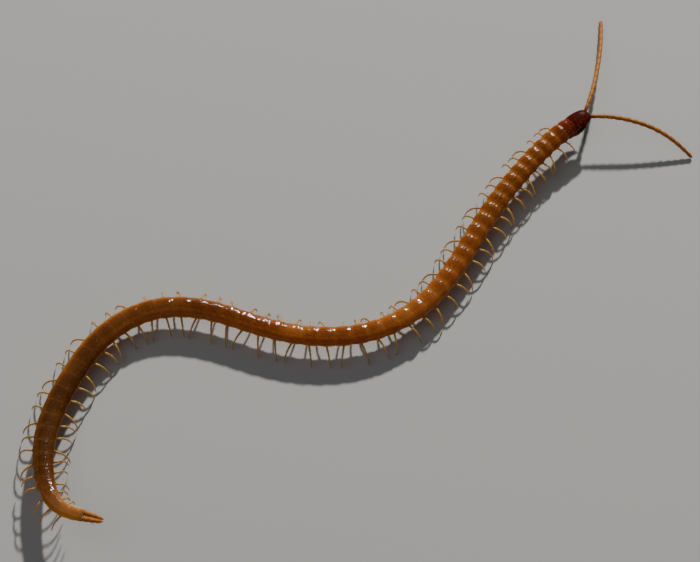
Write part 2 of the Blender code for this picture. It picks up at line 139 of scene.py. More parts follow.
# Share of the tail end, and relative size there
TAIL_END = [(0.0, 1.0), (0.2, 0.98), (0.45, 0.84), (0.7, 0.62), (0.88, 0.42), (0.97, 0.22), (1.0, 0.04)]
TAIL_SHARES = [
    0.0, 0.04, 0.09, 0.16, 0.26, 0.36, 0.46, 0.56, 0.66, 0.75, 0.83, 0.90, 0.95, 0.98, 1.0,
]
# Heights and depths of the skin's relief
PLATE_SWELL = 0.046
PLATE_STEP = 0.010
FURROW_DEPTH = 0.012
PLATE_EDGE_DEPTH = 0.012
BELLY_EDGE_DEPTH = 0.016
BELLY_SEAM_DEPTH = 0.014
FLANK_FOLD = 0.013
LEG_MOUND = 0.018
HOLE_RIM = 0.010
HOLE_DEPTH = 0.026
RELIEF_VARIATION = 0.12

# Walking legs
LEG_REACH = 0.76
LEG_DROP = 0.93
LEFT_SWINGS = (-27.0, 1.0, 12.0)
RIGHT_SWINGS = (18.0, 16.0, -18.0)
SWING_VARIATION = 4.0
REACH_VARIATION = 0.07
VARIATION_SEED = 29
CROWDED_BEND_RADIUS = 3.2
CROWDING_START = 0.4
CROWDED_REACH_LOSS = 0.30
LEG_SIZES = [(0.0, 0.72), (0.12, 0.95), (0.2, 1.0), (0.85, 1.0), (1.0, 0.78)]
LEG_JOINTS = (0.0, 0.13, 0.20, 0.43, 0.63, 0.80, 0.94, 1.0)
# Places out and down from the body line, as shares of the trunk's half width and half height
LEG_ROOT = (0.66, 0.24)
LEG_SOCKET = (0.90, 0.30)
# Shares of the reach and of the swing at the two bends of a leg, and how high they are
LEG_RISE = (0.46, 0.36)
LEG_RISE_LIFT = 0.10
LEG_BOW = (0.95, 0.86)
LEG_BOW_DROP = 0.20
HIDDEN_SHARE = 0.10
STRAIGHTNESS = 0.55
FOOT_HEIGHT = 0.004
THINNEST_LEG = 0.0015
LEG_FLATNESS = 0.94
# Share of the leg and its thickness against the thickness at the base
LEG_THICKNESSES = [
    (0.0, 0.98), (0.10, 1.06), (0.13, 0.90), (0.16, 0.96), (0.195, 0.84), (0.23, 0.98),
    (0.38, 0.93), (0.43, 0.74), (0.47, 0.88), (0.58, 0.80), (0.63, 0.62), (0.67, 0.75),
    (0.76, 0.66), (0.80, 0.50), (0.84, 0.60), (0.91, 0.42), (0.94, 0.26), (0.97, 0.17), (1.0, 0.02),
]
LEG_ROWS = 40
LEG_COLUMNS = 10

# Poison claws: distance from the front, sideways place, drop below the body line, thickness
CLAW_PATH = [
    (1.32, 0.20, 0.34, 0.34), (1.15, 0.27, 0.39, 0.38), (0.92, 0.305, 0.40, 0.36),
    (0.82, 0.305, 0.40, 0.30), (0.75, 0.31, 0.40, 0.32), (0.68, 0.30, 0.40, 0.27),
    (0.61, 0.30, 0.40, 0.28), (0.54, 0.29, 0.40, 0.225), (0.46, 0.28, 0.40, 0.23),
    (0.37, 0.255, 0.40, 0.17), (0.28, 0.215, 0.40, 0.115), (0.21, 0.165, 0.40, 0.065),
    (0.17, 0.11, 0.40, 0.015),
]
# Mouthparts between the claws, in the same measures
MOUTHPART_PATH = [
    (1.05, 0.09, 0.16, 0.20), (0.86, 0.12, 0.17, 0.20), (0.76, 0.13, 0.18, 0.15),
    (0.66, 0.13, 0.18, 0.17), (0.56, 0.12, 0.18, 0.12), (0.47, 0.10, 0.17, 0.13),
    (0.36, 0.07, 0.16, 0.08), (0.31, 0.05, 0.16, 0.015),
]
CLAW_ROWS = 90
CLAW_COLUMNS = 24
CLAW_FLATNESS = 0.96

# Feelers
ARTICLES = 14
ANTENNA_BASE_BACK = 0.18
ANTENNA_BASE_SIDE = 0.12
ANTENNA_SINK = 0.10
ANTENNA_TIP = 0.22
THINNEST_ANTENNA = 0.002
ANTENNA_ROWS_PER_ARTICLE = 14
ANTENNA_COLUMNS = 20
# Place in an article and relative thickness: a narrow stalk that swells to a bead
ARTICLE_SHAPE = [
    (0.0, 0.74), (0.05, 0.76), (0.16, 0.90), (0.40, 0.98), (0.68, 1.0), (0.88, 0.94), (0.96, 0.82),
    (1.0, 0.74),
]
ANTENNA_THICKNESSES = [(0.0, 0.72), (0.08, 0.95), (0.3, 1.0), (0.8, 0.90), (0.96, 0.84), (1.0, 0.60)]

# The last pair of legs
LAST_LEG_LENGTH = 1.55
LAST_LEG_START = -0.30
LAST_LEG_SINK = 0.10
# Share of the leg's length, and distance from the middle line there
LAST_LEG_PATH = [
    (0.0, 0.10), (0.12, 0.155), (0.25, 0.165), (0.40, 0.152), (0.52, 0.14), (0.60, 0.134),
    (0.71, 0.12), (0.78, 0.107), (0.90, 0.082), (1.0, 0.045),
]
LAST_LEG_THICKNESSES = [
    (0.0, 0.80), (0.10, 1.0), (0.17, 0.86), (0.20, 0.98), (0.32, 0.96), (0.36, 0.76),
    (0.40, 0.92), (0.52, 0.86), (0.56, 0.68), (0.60, 0.82), (0.71, 0.74), (0.75, 0.56),
    (0.78, 0.66), (0.90, 0.48), (0.94, 0.34), (0.97, 0.18), (1.0, 0.02),
]
LAST_LEG_ROWS = 70
LAST_LEG_COLUMNS = 20
LAST_LEG_JOINTS = (0.17, 0.36, 0.56, 0.75, 0.94)

TRUNK_NODES = ["trunk_%d" % number for number in range(1, 10)]

# Bristles: share of the length and relative thickness of each row
BRISTLE_SHARES = np.array([0.0, 0.35, 0.7, 1.0])
BRISTLE_TAPER = np.array([1.0, 0.82, 0.5, 0.12])
BRISTLE_SINK = 0.004
BRISTLE_BEND = 0.22
BACK_ROWS = [
    NECK_ROWS + segment * len(SEGMENT_ROWS) + row
    for segment in range(WALKING_SEGMENTS + 1) for row in (9, 13)
]
ANTENNA_FIELD = (330, range(16, ARTICLES * ANTENNA_ROWS_PER_ARTICLE - 2), range(ANTENNA_COLUMNS), 0.9, 0.7)
# Number, rows, columns, lean towards the end of the tube, and relative length of the bristles on
# walking legs, last legs, trunk, head and the two feelers
BRISTLE_FIELDS = [
    (1500, range(8, 36), range(LEG_COLUMNS), 0.9, 1.0),
    (90, range(8, 66), range(LAST_LEG_COLUMNS), 0.8, 1.0),
    (420, BACK_ROWS, range(6, 38), 1.6, 0.5),
    (46, range(8, 80), range(4, 33), -0.8, 0.6),
    ANTENNA_FIELD,
    ANTENNA_FIELD,
]

# How far light spreads under the cuticle: red, green and blue shares, and metres
THIN_PART_SPREAD = ((1.0, 0.38, 0.12), 0.00035)
TRUNK_SPREAD = ((1.0, 0.70, 0.24), 0.002)
DULL_ROUGHNESS = 0.6
DULL_SPECULAR = 0.03
# Stretches of the trunk's finish, in segments from the head: where each starts and where it is full
STRETCHES = {
    "amber": (0.2, 2.8), "middle": (6.0, 22.0), "tail end": (50.5, 55.0),
    "dark rear": (27.0, 35.0), "clear tail": (50.0, 54.5), "darkest": (39.0, 44.0),
    # plain left, light right and plain right bound the painted light on the trunk's edges
    "plain left": (41.0, 45.0), "light right": (24.0, 32.0), "plain right": (38.0, 42.0),
    "strong band": (12.0, 30.0), "patches": (15.0, 21.0), "smooth": (14.0, 26.0),
    "dull rear": (35.0, 41.0), "shine": (51.6, 52.1), "shine end": (52.3, 52.7),
}
# Depths of the bumps in the finishes, in metres
GRAIN_DEPTH = 0.000003
PIT_DEPTH = 0.000004
WRINKLE_DEPTH = 0.000020
CREASE_DEPTH = 0.000007
CLAW_POINT_COLOUR = (0.014, 0.003, 0.001)
LEG_POINT_COLOUR = (0.10, 0.03, 0.008)
ANTENNA_RED = (0.15, 0.018, 0.001)
FLOOR_COLOUR = (0.42, 0.42, 0.412)

# Camera and lights, in metres from the floor point at the middle of the picture
VIEW_POINT = (-0.00075, -0.00025, 0.0)
CAMERA_OFFSET = (0.0, -0.08286, 0.1435)
CAMERA_TILT = 30.0
CAMERA_ROLL = 1.7
CAMERA_LENS = 166.3
SENSOR_WIDTH = 36.0
FLOOR_HALF_SIZE = 1.5
# Direction, distance, diameter, power and colour of each lamp
KEY_LIGHT = ((0.29, 1.55, 1.13), 0.40, 0.022, 2.15, (1.0, 0.97, 0.92))
SOFT_LIGHT = ((-0.5, -0.3, 1.2), 0.50, 0.45, 0.4, (0.95, 0.97, 1.0))
SKY_COLOUR = (0.80, 0.83, 0.88, 1.0)
SKY_STRENGTH = 0.09


def size_property(name, description, default, low, high):
    """A length setting, in metres."""
    return bpy.props.FloatProperty(
        name=name, description=description, default=default, min=low, max=high, precision=6,
        unit="LENGTH",
    )


class CentipedeShape(bpy.types.PropertyGroup):
    """Sizes of the finer forms, which a user may change."""

    leg_thickness: size_property(
        "Leg thickness", "Thickness of a walking leg near its base", 0.000118, 0.00008, 0.0004
    )
    last_leg_thickness: size_property(
        "Last leg thickness", "Thickness of the last pair of legs", 0.00031, 0.0001, 0.00045
    )
    antenna_thickness: size_property(
        "Feeler thickness", "Thickness of a feeler's widest beads", 0.00024, 0.0001, 0.0004
    )
    groove_depth: size_property(
        "Groove depth", "Depth of the grooves between segments", 0.000008, 0.0, 0.00015
    )
    bristle_length: size_property(
        "Bristle length", "Length of the bristles on the legs", 0.00014, 0.00004, 0.0004
    )
    bristle_thickness: size_property(
        "Bristle thickness", "Thickness of a bristle at its base", 0.000012, 0.000004, 0.00004
    )


def millimetres(context):
    """The size settings in millimetres, by name."""
    settings = context.scene.centipede_shape
    return {name: getattr(settings, name) / METRES_PER_MM for name in CentipedeShape.__annotations__}


def colour_property(name, description, default):
    """A colour setting, in linear red, green and blue."""
    return bpy.props.FloatVectorProperty(
        name=name, description=description, default=default, min=0.0, max=1.0, size=3,
        subtype="COLOR",
    )


class CentipedeColours(bpy.types.PropertyGroup):
    """Colours of the cuticle, which a user may change."""

    head: colour_property("Head", "Head shield", (0.055, 0.0035, 0.0003))
    claw: colour_property("Claws", "Poison claws and the segment that carries them", (0.105, 0.010, 0.0006))
    front: colour_property("Front", "Back of the first segments", (0.172, 0.052, 0.0075))
    middle: colour_property("Middle", "Back of the middle segments", (0.235, 0.066, 0.011))
    rear: colour_property("Rear", "Back of the last segments", (0.27, 0.125, 0.043))
    band: colour_property("Band", "Dark band along the middle of the back", (0.056, 0.0175, 0.0030))
    # Redder underside, made brighter as painted light where the lower flanks lie in shade
    belly: colour_property("Belly", "Underside and lower flanks", (0.66, 0.172, 0.024))
    leg: colour_property("Legs", "Walking legs", (0.52, 0.325, 0.085))
    antenna: colour_property("Feelers", "Feelers beyond their red base", (0.36, 0.13, 0.012))
    # Pale amber of the joints, gut patches and last legs; laid on the trunk's edges it is painted light
    pale_amber_and_painted_light: colour_property("Glow", "Lighter patches where the body lets light through", (0.42, 0.165, 0.034))
    bristle: colour_property("Bristles", "Bristles", (0.50, 0.30, 0.12))


def cubic(places, values, slopes, at):
    """Cubic pieces that have the given values and slopes at their ends, the places."""
    piece = np.clip(np.searchsorted(places, at, side="right") - 1, 0, len(places) - 2)
    gap = np.diff(places)[piece]
    t = (at - places[piece]) / gap
    return (
        (2.0 * t**3 - 3.0 * t**2 + 1.0) * values[..., piece]
        + (t**3 - 2.0 * t**2 + t) * gap * slopes[..., piece]
        + (3.0 * t**2 - 2.0 * t**3) * values[..., piece + 1]
        + (t**3 - t**2) * gap * slopes[..., piece + 1]
    )


class SmoothLine:
    """A natural cubic spline through points, read by distance along it.

    The slopes at the knots solve the usual three-term system, in which each span weighs one over
    its length: the bend is the same on both sides of a knot, and none at the ends.
    """

    def __init__(self, points, samples=6000):
        knots = np.array(points, float).T
        spans = np.linalg.norm(np.diff(knots), axis=0)
        matrix = np.diag(1.0 / spans, 1)
        matrix = matrix + matrix.T
        matrix = matrix + 2.0 * np.diag(matrix.sum(axis=0))
        pulls = np.pad(3.0 * np.diff(knots) / spans**2, ((0, 0), (1, 1)))
        slopes = np.linalg.solve(matrix, (pulls[:, :-1] + pulls[:, 1:]).T).T
        stations = np.concatenate([[0.0], np.cumsum(spans)])
        self.points = cubic(stations, knots, slopes, np.linspace(0.0, stations[-1], samples)).T
        steps = np.linalg.norm(np.diff(self.points, axis=0), axis=1)
        self.distance = np.concatenate([[0.0], np.cumsum(steps)])
        self.length = float(self.distance[-1])

    def point(self, along):
        along = np.asarray(along, float)
        return np.stack(
            [np.interp(along, self.distance, self.points[:, k]) for k in range(3)], axis=-1
        )

    def direction(self, along, reach=0.05):
        along = np.asarray(along, float)
        start = np.clip(along - reach, 0.0, self.length - 2.0 * reach)
        return unit(self.point(start + 2.0 * reach) - self.point(start))

    def frames(self, along):
        """Centre and the forward, left and upward directions of the body at each distance."""
        forward = -self.direction(along)
        up = np.array([0.0, 0.0, 1.0])
        upward = unit(up - forward * forward[..., 2:3])
        return self.point(along), forward, np.cross(upward, forward), upward

    def bend_to_left(self, along, reach=0.8):
        """Curvature from above, positive where the line bends round its left side."""
        before = self.direction(np.maximum(reach, along - reach))
        after = self.direction(np.minimum(self.length - reach, along + reach))
        cross = before[..., 1] * after[..., 0] - before[..., 0] * after[..., 1]
        dot = before[..., 0] * after[..., 0] + before[..., 1] * after[..., 1]
        return np.arctan2(cross, dot) / (2.0 * reach)


def unit(vectors):
    return vectors / np.linalg.norm(vectors, axis=-1, keepdims=True)


def read_curve(stations, at):
    """A smooth curve through stations: cubic pieces whose slopes, the harmonic means of the
    neighbouring rates of change, never overshoot a station."""
    places, values = np.array(stations, float).T
    rates = np.diff(values) / np.diff(places)
    same = rates[:-1] * rates[1:] > 0.0
    total = np.where(same, rates[:-1] + rates[1:], 1.0)
    inner = np.where(same, 2.0 * rates[:-1] * rates[1:] / total, 0.0)
    slopes = np.concatenate([rates[:1], inner, rates[-1:]])
    return cubic(places, values, slopes, np.clip(at, places[0], places[-1]))


def hill(value, middle, width):
    """A smooth hill of height 1 about a middle: the exponential of minus the squared offset."""
    return np.exp(-(((value - middle) / width) ** 2))


def twin_hills(value, middle, width):
    """Two smooth hills, at the same distance on both sides of 0."""
    return hill(value, middle, width) + hill(value, -middle, width)


def smooth_step(value, low, high):
    """0 below low, 1 above high, and a cubic between them."""
    t = np.clip((value - low) / (high - low), 0.0, 1.0)
    return t * t * (3.0 - 2.0 * t)


def circle(columns):
    """Cosine and sine of equal steps round a circle."""
    angles = np.arange(columns) * (2.0 * math.pi / columns)
    return np.cos(angles), np.sin(angles)


def lay_rings(centres, across, upward, wide, tall):
    """Rings of points: each centre plus a width across and a height upward, point by point."""
    return (
        centres[..., None, :]
        + wide[..., None] * across[..., None, :]
        + tall[..., None] * upward[..., None, :]
    )


def tube_grid(path, reference, half_widths, half_heights, columns):
    """Ellipses square to each path. The cosine of the angle runs across, in the direction square
    to the path that is nearest to the reference, and the sine runs square to both."""
    heading = unit(np.gradient(path, axis=-2))
    across = unit(reference - heading * np.sum(reference * heading, axis=-1, keepdims=True))
    cosine, sine = circle(columns)
    wide = half_widths[..., None] * cosine
    tall = half_heights[..., None] * sine
    grid = lay_rings(path, across, np.cross(heading, across), wide, tall)
    # Nothing goes below the floor
    grid[..., 2] = np.maximum(grid[..., 2], 0.0)
    return grid


def as_tubes(grid):
    """The grid with one axis for tubes, one for rows and one for columns."""
    return grid.reshape(-1, *grid.shape[-3:])


def tube_faces(tubes):
    """Four-sided faces between neighbouring rings and one face over each end, facing outward."""
    count, rows, columns, _ = tubes.shape
    number = np.arange(count * rows * columns).reshape(count, rows, columns)
    here = number[:, :-1]
    beyond = number[:, 1:]
    quads = np.stack(
        [here, np.roll(here, -1, axis=2), np.roll(beyond, -1, axis=2), beyond], axis=-1
    ).reshape(-1, 4)
    corners = tubes.reshape(-1, 3)[quads]
    normals = np.cross(corners[:, 2] - corners[:, 0], corners[:, 3] - corners[:, 1])
    outward = (tubes - tubes.mean(axis=2, keepdims=True))[:, :-1].reshape(-1, 3)
    first = number[:, 0, ::-1]
    last = number[:, -1]
    # All tubes run the same way round, so one sum tells whether the faces point inward
    if np.sum(normals * outward) < 0.0:
        quads = quads[:, ::-1]
        first = first[:, ::-1]
        last = last[:, ::-1]
    return quads.tolist() + first.tolist() + last.tolist()


def add_piece(name, form, nodes, material):
    """A closed mesh object from a form, which is a grid of points in millimetres with the
    attributes that its finish reads, riding on the root body."""
    grid, attributes = form
    tubes = as_tubes(grid)
    mesh = bpy.data.meshes.new(name)
    points = tubes.reshape(-1, 3) * METRES_PER_MM
    mesh.from_pydata(points.tolist(), [], tube_faces(tubes))
    mesh.shade_smooth()
    for label, values in attributes.items():
        spread = np.broadcast_to(values, tubes.shape[:3]).astype(np.float32)
        layer = mesh.attributes.new(label, "FLOAT", "POINT")
        layer.data.foreach_set("value", spread.ravel())
    mesh.materials.append(material)
    mesh.update()
    piece = bpy.data.objects.new(name, mesh)
    bpy.context.scene.collection.objects.link(piece)
    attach(piece, "root")
    if nodes:
        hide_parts(*nodes)


BODY = SmoothLine(BODY_LINE)


def segment_borders():
    """Distances along the body of the borders between leg-bearing segments."""
    start = HEAD_LENGTH + CLAW_SEGMENT_LENGTH
    end = BODY.length - TAIL_END_LENGTH
    count = WALKING_SEGMENTS + 1
    places, values = np.array(SEGMENT_LENGTHS).T
    weights = np.interp((np.arange(count) + 0.5) / count, places, values)
    shares = np.concatenate([[0.0], np.cumsum(weights)]) / weights.sum()
    return start + shares * (end - start)


def trunk_rows():
    """Distance along the body of every row of the trunk's skin, its place within its segment,
    its count of segments from the head, and its relative size."""
    borders = np.concatenate([[FIRST_BORDER], segment_borders()])
    rows = np.array(SEGMENT_ROWS)
    sizes = np.diff(borders)
    body = (borders[:-1, None] + sizes[:, None] * rows).ravel()
    station = (np.arange(len(sizes))[:, None] + rows).ravel()
    neck = np.linspace(NECK_START, FIRST_BORDER, NECK_ROWS, endpoint=False)
    shares = np.array(TAIL_SHARES)
    along = np.concatenate([neck, body, borders[-1] + shares * TELSON_LENGTH])
    tail_phase = 0.5 + 0.5 * hill(shares, 0.0, 0.05)
    phase = np.concatenate([np.full(NECK_ROWS, 0.5), np.tile(rows, len(sizes)), tail_phase])
    station = np.concatenate([np.zeros(NECK_ROWS), station, len(sizes) + shares])
    size = np.ones_like(along)
    size[-len(shares):] = read_curve(TAIL_END, shares)
    return along, phase, station, size


def trunk_relief(phase, station, cosine, sine, relief, groove_depth):
    """Height of the skin over a smooth tube, in millimetres, and how deep in a groove it lies.

    It sums smooth hills and steps of the place within the segment and of the angle round the
    body: a groove at each border, the low front plate and the main back plate with its raised
    rear edge and two fine furrows, the belly plates with a pit, the soft folds and small plates of
    the flanks, a mound at each leg and a breathing hole before it.
    """
    back = smooth_step(sine, 0.10, 0.34)
    belly = smooth_step(-sine, 0.55, 0.72)
    flank = 1.0 - back - belly
    border = hill(phase, 0.0, 0.055) + hill(phase, 1.0, 0.04)
    joint = (hill(phase, 0.0, 0.13) + hill(phase, 1.0, 0.13)) * back
    plate_rise = smooth_step(phase, 0.03, 0.30) * (1.0 - smooth_step(phase, 0.42, 1.0))
    front_plate = smooth_step(-phase, -0.225, -0.165) * smooth_step(phase, 0.0, 0.08) * back
    seam = hill(phase, 0.195, 0.03) * back
    rear_rim = smooth_step(phase, 0.40, 0.80) * (1.0 - smooth_step(phase, 0.88, 1.0)) * back
    furrow = twin_hills(cosine, 0.36, 0.09) * back * smooth_step(phase, 0.20, 0.30)
    plate_edge = hill(sine, 0.20, 0.08)
    belly_edge = hill(sine, -0.63, 0.07)
    belly_seam = hill(phase, 0.17, 0.03) + hill(phase, 0.88, 0.03)
    belly_pit = hill(cosine, 0.0, 0.13) * hill(phase, 0.52, 0.14)
    fold = np.cos(2.0 * math.pi * (2.0 * phase + 0.15)) * np.cos(9.0 * sine + 0.8)
    walking = (station >= 1.0) & (station < WALKING_SEGMENTS + 1.0)
    mound = hill(sine, -0.30, 0.24) * hill(phase, 0.5, 0.17) * walking
    hole = hill(sine, 0.13, 0.045) * hill(phase, 0.40, 0.030) * walking
    rim = hill(sine, 0.13, 0.085) * hill(phase, 0.40, 0.055) * walking
    height = (
        PLATE_SWELL * relief * (plate_rise - 0.5)
        + PLATE_STEP * (0.15 + 0.85 * relief) * (rear_rim - front_plate - seam)
        + FLANK_FOLD * flank * fold + LEG_MOUND * mound + HOLE_RIM * rim - HOLE_DEPTH * hole
        - groove_depth * border - FURROW_DEPTH * furrow - PLATE_EDGE_DEPTH * plate_edge
        - BELLY_EDGE_DEPTH * belly_edge - BELLY_SEAM_DEPTH * belly * (belly_seam + belly_pit)
    )
    # The hollows of the folds, which the finish darkens as painted shade
    painted_fold_shade = flank * np.clip(-fold, 0.0, 1.0)
    edges = 0.4 * (border + belly_edge + plate_edge)
    groove = np.clip(edges + 0.5 * (seam + painted_fold_shade) + hole, 0.0, 1.0)
    return height, groove, joint


def trunk_grid(groove_depth):
    """The trunk's skin: an ellipse with a flatter belly about the body line, moved outward by
    the relief of the segments."""
    along, phase, station, size = trunk_rows()
    centre, _, left, upward = BODY.frames(along)
    cosine, sine = circle(TRUNK_COLUMNS)
    draw = np.random.default_rng(VARIATION_SEED)
    variation = 1.0 + draw.uniform(-RELIEF_VARIATION, RELIEF_VARIATION, WALKING_SEGMENTS + 4)
    relief = read_curve(SEGMENT_RELIEF, along) * variation[station.astype(int)]
    station = station[:, None]
    height, groove, joint = trunk_relief(
        phase[:, None], station, cosine, sine, relief[:, None], groove_depth
    )
    half_width = (0.5 * read_curve(TRUNK_WIDTHS, along) - SKIN_INSET)[:, None]
    half_height = half_width * TRUNK_HEIGHT_RATIO
    depth = half_height * read_curve(BELLY_DEPTHS, along)[:, None]
    size = size[:, None]
    wide = (half_width + height) * np.sign(cosine) * np.abs(cosine) ** SQUARENESS * size
    tall = np.where(sine > 0.0, half_height, depth) + height
    tall = tall * np.sign(sine) * np.abs(sine) ** SQUARENESS * size
    return lay_rings(centre, left, upward, wide, tall), {
        "station": station, "groove": groove, "joint": joint, "lateral": cosine, "rise": sine,
    }


def head_grid():
    """The head: at each distance from its front an upper arch, fuller than an ellipse, over a
    shallower lower one, meeting at a rim."""
    share = np.linspace(0.0, 1.0, HEAD_ROWS)
    along = HEAD_SHIELD_LENGTH * (0.5 - 0.5 * np.cos(math.pi * share))
    centre, _, left, upward = BODY.frames(along)
    cosine, sine = circle(HEAD_COLUMNS)
    half_width, top, depth = (
        read_curve(table, along)[:, None] for table in (HEAD_HALF_WIDTHS, HEAD_TOPS, HEAD_DEPTHS)
    )
    place = along[:, None]
    inner = smooth_step(place, 0.20, 0.32) * (1.0 - smooth_step(place, 1.04, 1.12))
    furrow = twin_hills(cosine, 0.34, 0.07) * (sine > 0.3) * inner
    seam = hill(place, 1.155, 0.028) * (sine > 0.0)
    tall = np.where(sine > 0.0, top, depth) * np.sign(sine) * np.abs(sine) ** HEAD_FULLNESS
    tall = tall - HEAD_FURROW_DEPTH * furrow - HEAD_SEAM_DEPTH * seam * sine
    grid = lay_rings(centre + upward * HEAD_RISE, left, upward, half_width * cosine, tall)
    return grid, {"along": place / HEAD_LENGTH, "groove": np.clip(furrow + seam, 0.0, 1.0)}


def claw_grid(places):
    """A pair of claws or mouthparts: round tubes along bowed paths under the head, drawn in at
    their joints."""
    share = np.linspace(0.0, 1.0, CLAW_ROWS)
    stations = np.linspace(0.0, 1.0, len(places))
    along, sideways, drop, thickness = (
        read_curve(np.stack([stations, values], axis=1), share)[:, None]
        for values in np.array(places).T
    )
    centre, _, left, upward = BODY.frames(along[:, 0])
    side = np.array(SIDES, float)[:, None, None]
    path = centre + left * side * sideways - upward * drop
    half = 0.5 * thickness[:, 0]
    grid = tube_grid(path, upward, half, half * CLAW_FLATNESS, CLAW_COLUMNS)
    return grid, {"along": share[:, None]}


def antenna_grid(side, thickness):
    """A feeler: a round tube from inside the head to its tip, whose thickness repeats the shape
    of one bead fourteen times."""
    front, forward, left, upward = BODY.frames(0.0)
    base = front - forward * ANTENNA_BASE_BACK + left * side * ANTENNA_BASE_SIDE
    line = SmoothLine([tuple(base + upward * HEAD_RISE), *ANTENNA_LINES[side]], 1200)
    place = np.linspace(0.0, ARTICLES, ARTICLES * ANTENNA_ROWS_PER_ARTICLE + 1)
    points = line.point(ANTENNA_SINK + (line.length - ANTENNA_SINK) * place / ARTICLES)
    within = place % 1.0
    within[-1] = 1.0
    half = 0.5 * thickness * read_curve(ARTICLE_SHAPE, within)
    half = half * read_curve(ANTENNA_THICKNESSES, place / ARTICLES)
    rounding = np.maximum(smooth_step(ARTICLES - place, 0.0, ANTENNA_TIP) ** 0.5, 0.03)
    half = np.maximum(half * rounding, THINNEST_ANTENNA)
    grid = tube_grid(points, np.array([0.0, 0.0, 1.0]), half, half, ANTENNA_COLUMNS)
    joint = hill(within, 0.0, 0.09) + hill(within, 1.0, 0.05)
    return grid, {"along": place[:, None] / ARTICLES, "groove": joint[:, None]}


def leg_swings():
    """Forward swing in radians and reach factor of every walking leg, left then right."""
    draw = np.random.default_rng(VARIATION_SEED)
    turn = np.arange(WALKING_SEGMENTS) % len(LEFT_SWINGS)
    swings = np.stack([np.array(LEFT_SWINGS)[turn], np.array(RIGHT_SWINGS)[turn]], axis=1)
    swings = swings + draw.uniform(-SWING_VARIATION, SWING_VARIATION, swings.shape)
    reach = 1.0 + draw.uniform(-REACH_VARIATION, REACH_VARIATION, swings.shape)
    return np.radians(swings), reach


def leg_grid(thickness):
    """All the walking legs. Each path is a cubic from the flank, out and over to the foot,
    drawn partly towards straight lines between its joints, and its thickness follows one table."""
    borders = segment_borders()
    along = np.repeat(0.5 * (borders[:-2] + borders[1:-1])[:, None], 2, axis=1)
    swing, reach_factor = leg_swings()
    side = np.broadcast_to(np.array(SIDES, float), along.shape)
    centre, forward, left, upward = BODY.frames(along)
    half_width = 0.5 * read_curve(TRUNK_WIDTHS, along)[..., None]
    half_height = half_width * TRUNK_HEIGHT_RATIO
    out = left * side[..., None]
    root, flank = (
        centre + out * place[0] * half_width - upward * place[1] * half_height
        for place in (LEG_ROOT, LEG_SOCKET)
    )
    size = read_curve(LEG_SIZES, along / BODY.length)
    tightness = side * BODY.bend_to_left(along) * CROWDED_BEND_RADIUS
    crowding = np.clip(tightness - CROWDING_START, 0.0, 1.0)
    reach = LEG_REACH * size * reach_factor * (1.0 - CROWDED_REACH_LOSS * crowding)
    level = np.array([1.0, 1.0, 0.0])
    sweep = unit(forward * level) * (reach * np.tan(swing * (1.0 - crowding)))[..., None]
    stretch = unit(out * level) * reach[..., None]
    foot = flank + stretch + sweep
    foot[..., 2] = np.maximum(FOOT_HEIGHT, flank[..., 2] - LEG_DROP * size)
    rise = flank + stretch * LEG_RISE[0] + sweep * LEG_RISE[1]
    rise[..., 2] = flank[..., 2] + LEG_RISE_LIFT
    bow = flank + stretch * LEG_BOW[0] + sweep * LEG_BOW[1]
    bow[..., 2] = flank[..., 2] - LEG_BOW_DROP * (flank[..., 2] - foot[..., 2])
    root, flank, rise, bow, foot = (
        point[..., None, :] for point in (root, flank, rise, bow, foot)
    )

    def arch(share):
        t = share[:, None]
        u = np.clip((t - HIDDEN_SHARE) / (1.0 - HIDDEN_SHARE), 0.0, 1.0)
        curve = (
            flank * (1.0 - u) ** 3 + 3.0 * rise * u * (1.0 - u) ** 2
            + 3.0 * bow * u**2 * (1.0 - u) + foot * u**3
        )
        hidden = root + (flank - root) * np.clip(t / HIDDEN_SHARE, 0.0, 1.0)
        return np.where(t < HIDDEN_SHARE, hidden, curve)

    share = np.linspace(0.0, 1.0, LEG_ROWS)
    joints = np.array(LEG_JOINTS)
    at_joints = arch(joints)
    piece = np.clip(np.searchsorted(joints, share, side="right") - 1, 0, len(joints) - 2)
    within = ((share - joints[piece]) / np.diff(joints)[piece])[:, None]
    straight = at_joints[..., piece, :] * (1.0 - within) + at_joints[..., piece + 1, :] * within
    path = (1.0 - STRAIGHTNESS) * arch(share) + STRAIGHTNESS * straight
    half = 0.5 * thickness * read_curve(LEG_THICKNESSES, share) * size[..., None]
    half = np.maximum(half, THINNEST_LEG)
    grid = tube_grid(path, forward[..., None, :], half * LEG_FLATNESS, half, LEG_COLUMNS)
    joint = sum(hill(share, place, 0.016) for place in LEG_JOINTS[2:-1])
    tone = np.random.default_rng(VARIATION_SEED + 1).uniform(0.0, 1.0, along.size)
    return as_tubes(grid), {
        "along": share[:, None], "groove": joint[:, None], "tone": tone[:, None, None],
    }


def last_leg_grid(thickness):
    """The last pair of legs: round tubes that trail back beside the tail end."""
    centre, forward, left, upward = BODY.frames(segment_borders()[-1])
    share = np.linspace(0.0, 1.0, LAST_LEG_ROWS)
    row = share[:, None]
    sideways = left * np.array(SIDES, float)[:, None, None] * read_curve(LAST_LEG_PATH, row)
    behind = LAST_LEG_START + LAST_LEG_LENGTH * row
    path = centre + sideways - forward * behind - upward * LAST_LEG_SINK * row
    half = 0.5 * thickness * read_curve(LAST_LEG_THICKNESSES, share)
    grid = tube_grid(path, upward, half, half, LAST_LEG_COLUMNS)
    joint = sum(hill(row, place, 0.012) for place in LAST_LEG_JOINTS)
    return grid, {"along": row, "groove": joint, "tone": 2.0}


def bristle_grid(bases, directions, lengths, thickness, bends):
    """Bristles: thin three-sided tubes, each bent a little to one side and drawn to a point.

    Each path is the base plus the direction times the share of its length, plus the bend times
    the square of that share.
    """
    share = BRISTLE_SHARES[:, None]
    length = lengths[:, None, None]
    path = bases[:, None] + directions[:, None] * share * length + bends[:, None] * share**2 * length
    reference = unit(np.cross(directions, np.array([0.31, 0.57, 0.76])))[:, None]
    half = 0.5 * thickness * BRISTLE_TAPER
    return tube_grid(path, reference, half, half, 3), {"along": share}


